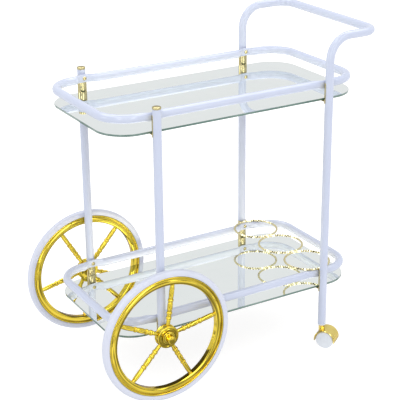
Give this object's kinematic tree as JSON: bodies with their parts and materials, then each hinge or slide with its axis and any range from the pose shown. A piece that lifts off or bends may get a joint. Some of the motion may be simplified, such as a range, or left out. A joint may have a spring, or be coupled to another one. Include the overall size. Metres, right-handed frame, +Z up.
{
  "type": "service cart",
  "caption": "Two-shelf drinks cart: white tube frame with push handle, mirror shelves in guard rails, large gold spoked front wheels, rear casters and gold bottle rings.",
  "frame": {"origin": "on the floor, under the middle of the cart's bounding box", "axes": "+X towards the push handle, +Y towards the cart's right side as pushed, +Z up"},
  "size_m": [0.772, 0.4806, 0.813],
  "materials": {
    "white_paint": "gloss white paint",
    "gold_metal": "polished gold plate",
    "gold_plastic": "gold plated plastic",
    "mirror_glass": "silvered glass, polished edge",
    "white_tyre": "smooth white",
    "white_plastic": "smooth white",
    "bush_plastic": "plain",
    "zinc_steel": "zinc plated",
    "clear_pad": "soft clear"
  },
  "bodies": {
    "frame": {"axle_bolt_left": "gold_metal", "axle_bolt_right": "gold_metal", "axle_nut_left": "zinc_steel", "axle_nut_right": "zinc_steel", "axle_spacer_left": "gold_plastic", "axle_spacer_right": "gold_plastic", "axle_washer_left": "zinc_steel", "axle_washer_right": "zinc_steel", "bottle_ring_left": "gold_metal", "bottle_ring_middle": "gold_metal", "bottle_ring_right": "gold_metal", "caster_socket_left": "white_plastic", "caster_socket_right": "white_plastic", "front_leg_cap_left": "gold_metal", "front_leg_cap_right": "gold_metal", "front_leg_left": "white_paint", "front_leg_plug_left": "white_plastic", "front_leg_plug_right": "white_plastic", "front_leg_right": "white_paint", "handle_frame": "white_paint", "leg_inserts": "zinc_steel", "lower_front_left_bracket": "gold_metal", "lower_front_right_bracket": "gold_metal", "lower_guard_rail": "white_paint", "lower_rear_left_bracket": "gold_metal", "lower_rear_right_bracket": "gold_metal", "lower_shelf": "mirror_glass", "lower_shelf_pads": "clear_pad", "rail_screws": "gold_metal", "upper_front_left_bracket": "gold_metal", "upper_front_right_bracket": "gold_metal", "upper_guard_rail": "white_paint", "upper_rear_left_bracket": "gold_metal", "upper_rear_right_bracket": "gold_metal", "upper_shelf": "mirror_glass", "upper_shelf_pads": "clear_pad"},
    "left_wheel": {"wheel_tyre_left": "white_tyre", "wheel_rim_left": "gold_plastic", "wheel_spokes_left": "gold_plastic", "wheel_hub_left": "gold_plastic", "wheel_bush_left": "bush_plastic", "hub_cap_left": "gold_plastic"},
    "left_caster": {"caster_hood_left": "gold_plastic", "caster_stem_left": "zinc_steel", "caster_axle_left": "zinc_steel"},
    "left_caster_front_wheel": {"caster_front_wheel_left": "white_plastic"},
    "left_caster_back_wheel": {"caster_back_wheel_left": "white_plastic"},
    "right_wheel": {"wheel_tyre_right": "white_tyre", "wheel_rim_right": "gold_plastic", "wheel_spokes_right": "gold_plastic", "wheel_hub_right": "gold_plastic", "wheel_bush_right": "bush_plastic", "hub_cap_right": "gold_plastic"},
    "right_caster": {"caster_hood_right": "gold_plastic", "caster_stem_right": "zinc_steel", "caster_axle_right": "zinc_steel"},
    "right_caster_front_wheel": {"caster_front_wheel_right": "white_plastic"},
    "right_caster_back_wheel": {"caster_back_wheel_right": "white_plastic"}
  },
  "joints": [
    {"name": "left_wheel_spin", "type": "hinge", "parent": "frame", "child": "left_wheel", "pos_m": [-0.221, -0.213, 0.165], "axis": [0, 1, 0], "continuous": true},
    {"name": "left_caster_swivel", "type": "hinge", "parent": "frame", "child": "left_caster", "pos_m": [0.241, -0.19, 0.0585], "axis": [0, 0, 1], "continuous": true},
    {"name": "left_caster_front_wheel_spin", "type": "hinge", "parent": "left_caster", "child": "left_caster_front_wheel", "pos_m": [0.24894, -0.20092, 0.0225], "axis": [0.809, 0.5878, 0], "continuous": true},
    {"name": "left_caster_back_wheel_spin", "type": "hinge", "parent": "left_caster", "child": "left_caster_back_wheel", "pos_m": [0.24894, -0.20092, 0.0225], "axis": [0.809, 0.5878, 0], "continuous": true},
    {"name": "right_wheel_spin", "type": "hinge", "parent": "frame", "child": "right_wheel", "pos_m": [-0.221, 0.213, 0.165], "axis": [0, 1, 0], "continuous": true},
    {"name": "right_caster_swivel", "type": "hinge", "parent": "frame", "child": "right_caster", "pos_m": [0.241, 0.19, 0.0585], "axis": [0, 0, 1], "continuous": true},
    {"name": "right_caster_front_wheel_spin", "type": "hinge", "parent": "right_caster", "child": "right_caster_front_wheel", "pos_m": [0.24894, 0.17908, 0.0225], "axis": [0.809, 0.5878, 0], "continuous": true},
    {"name": "right_caster_back_wheel_spin", "type": "hinge", "parent": "right_caster", "child": "right_caster_back_wheel", "pos_m": [0.24894, 0.17908, 0.0225], "axis": [0.809, 0.5878, 0], "continuous": true}
  ]
}
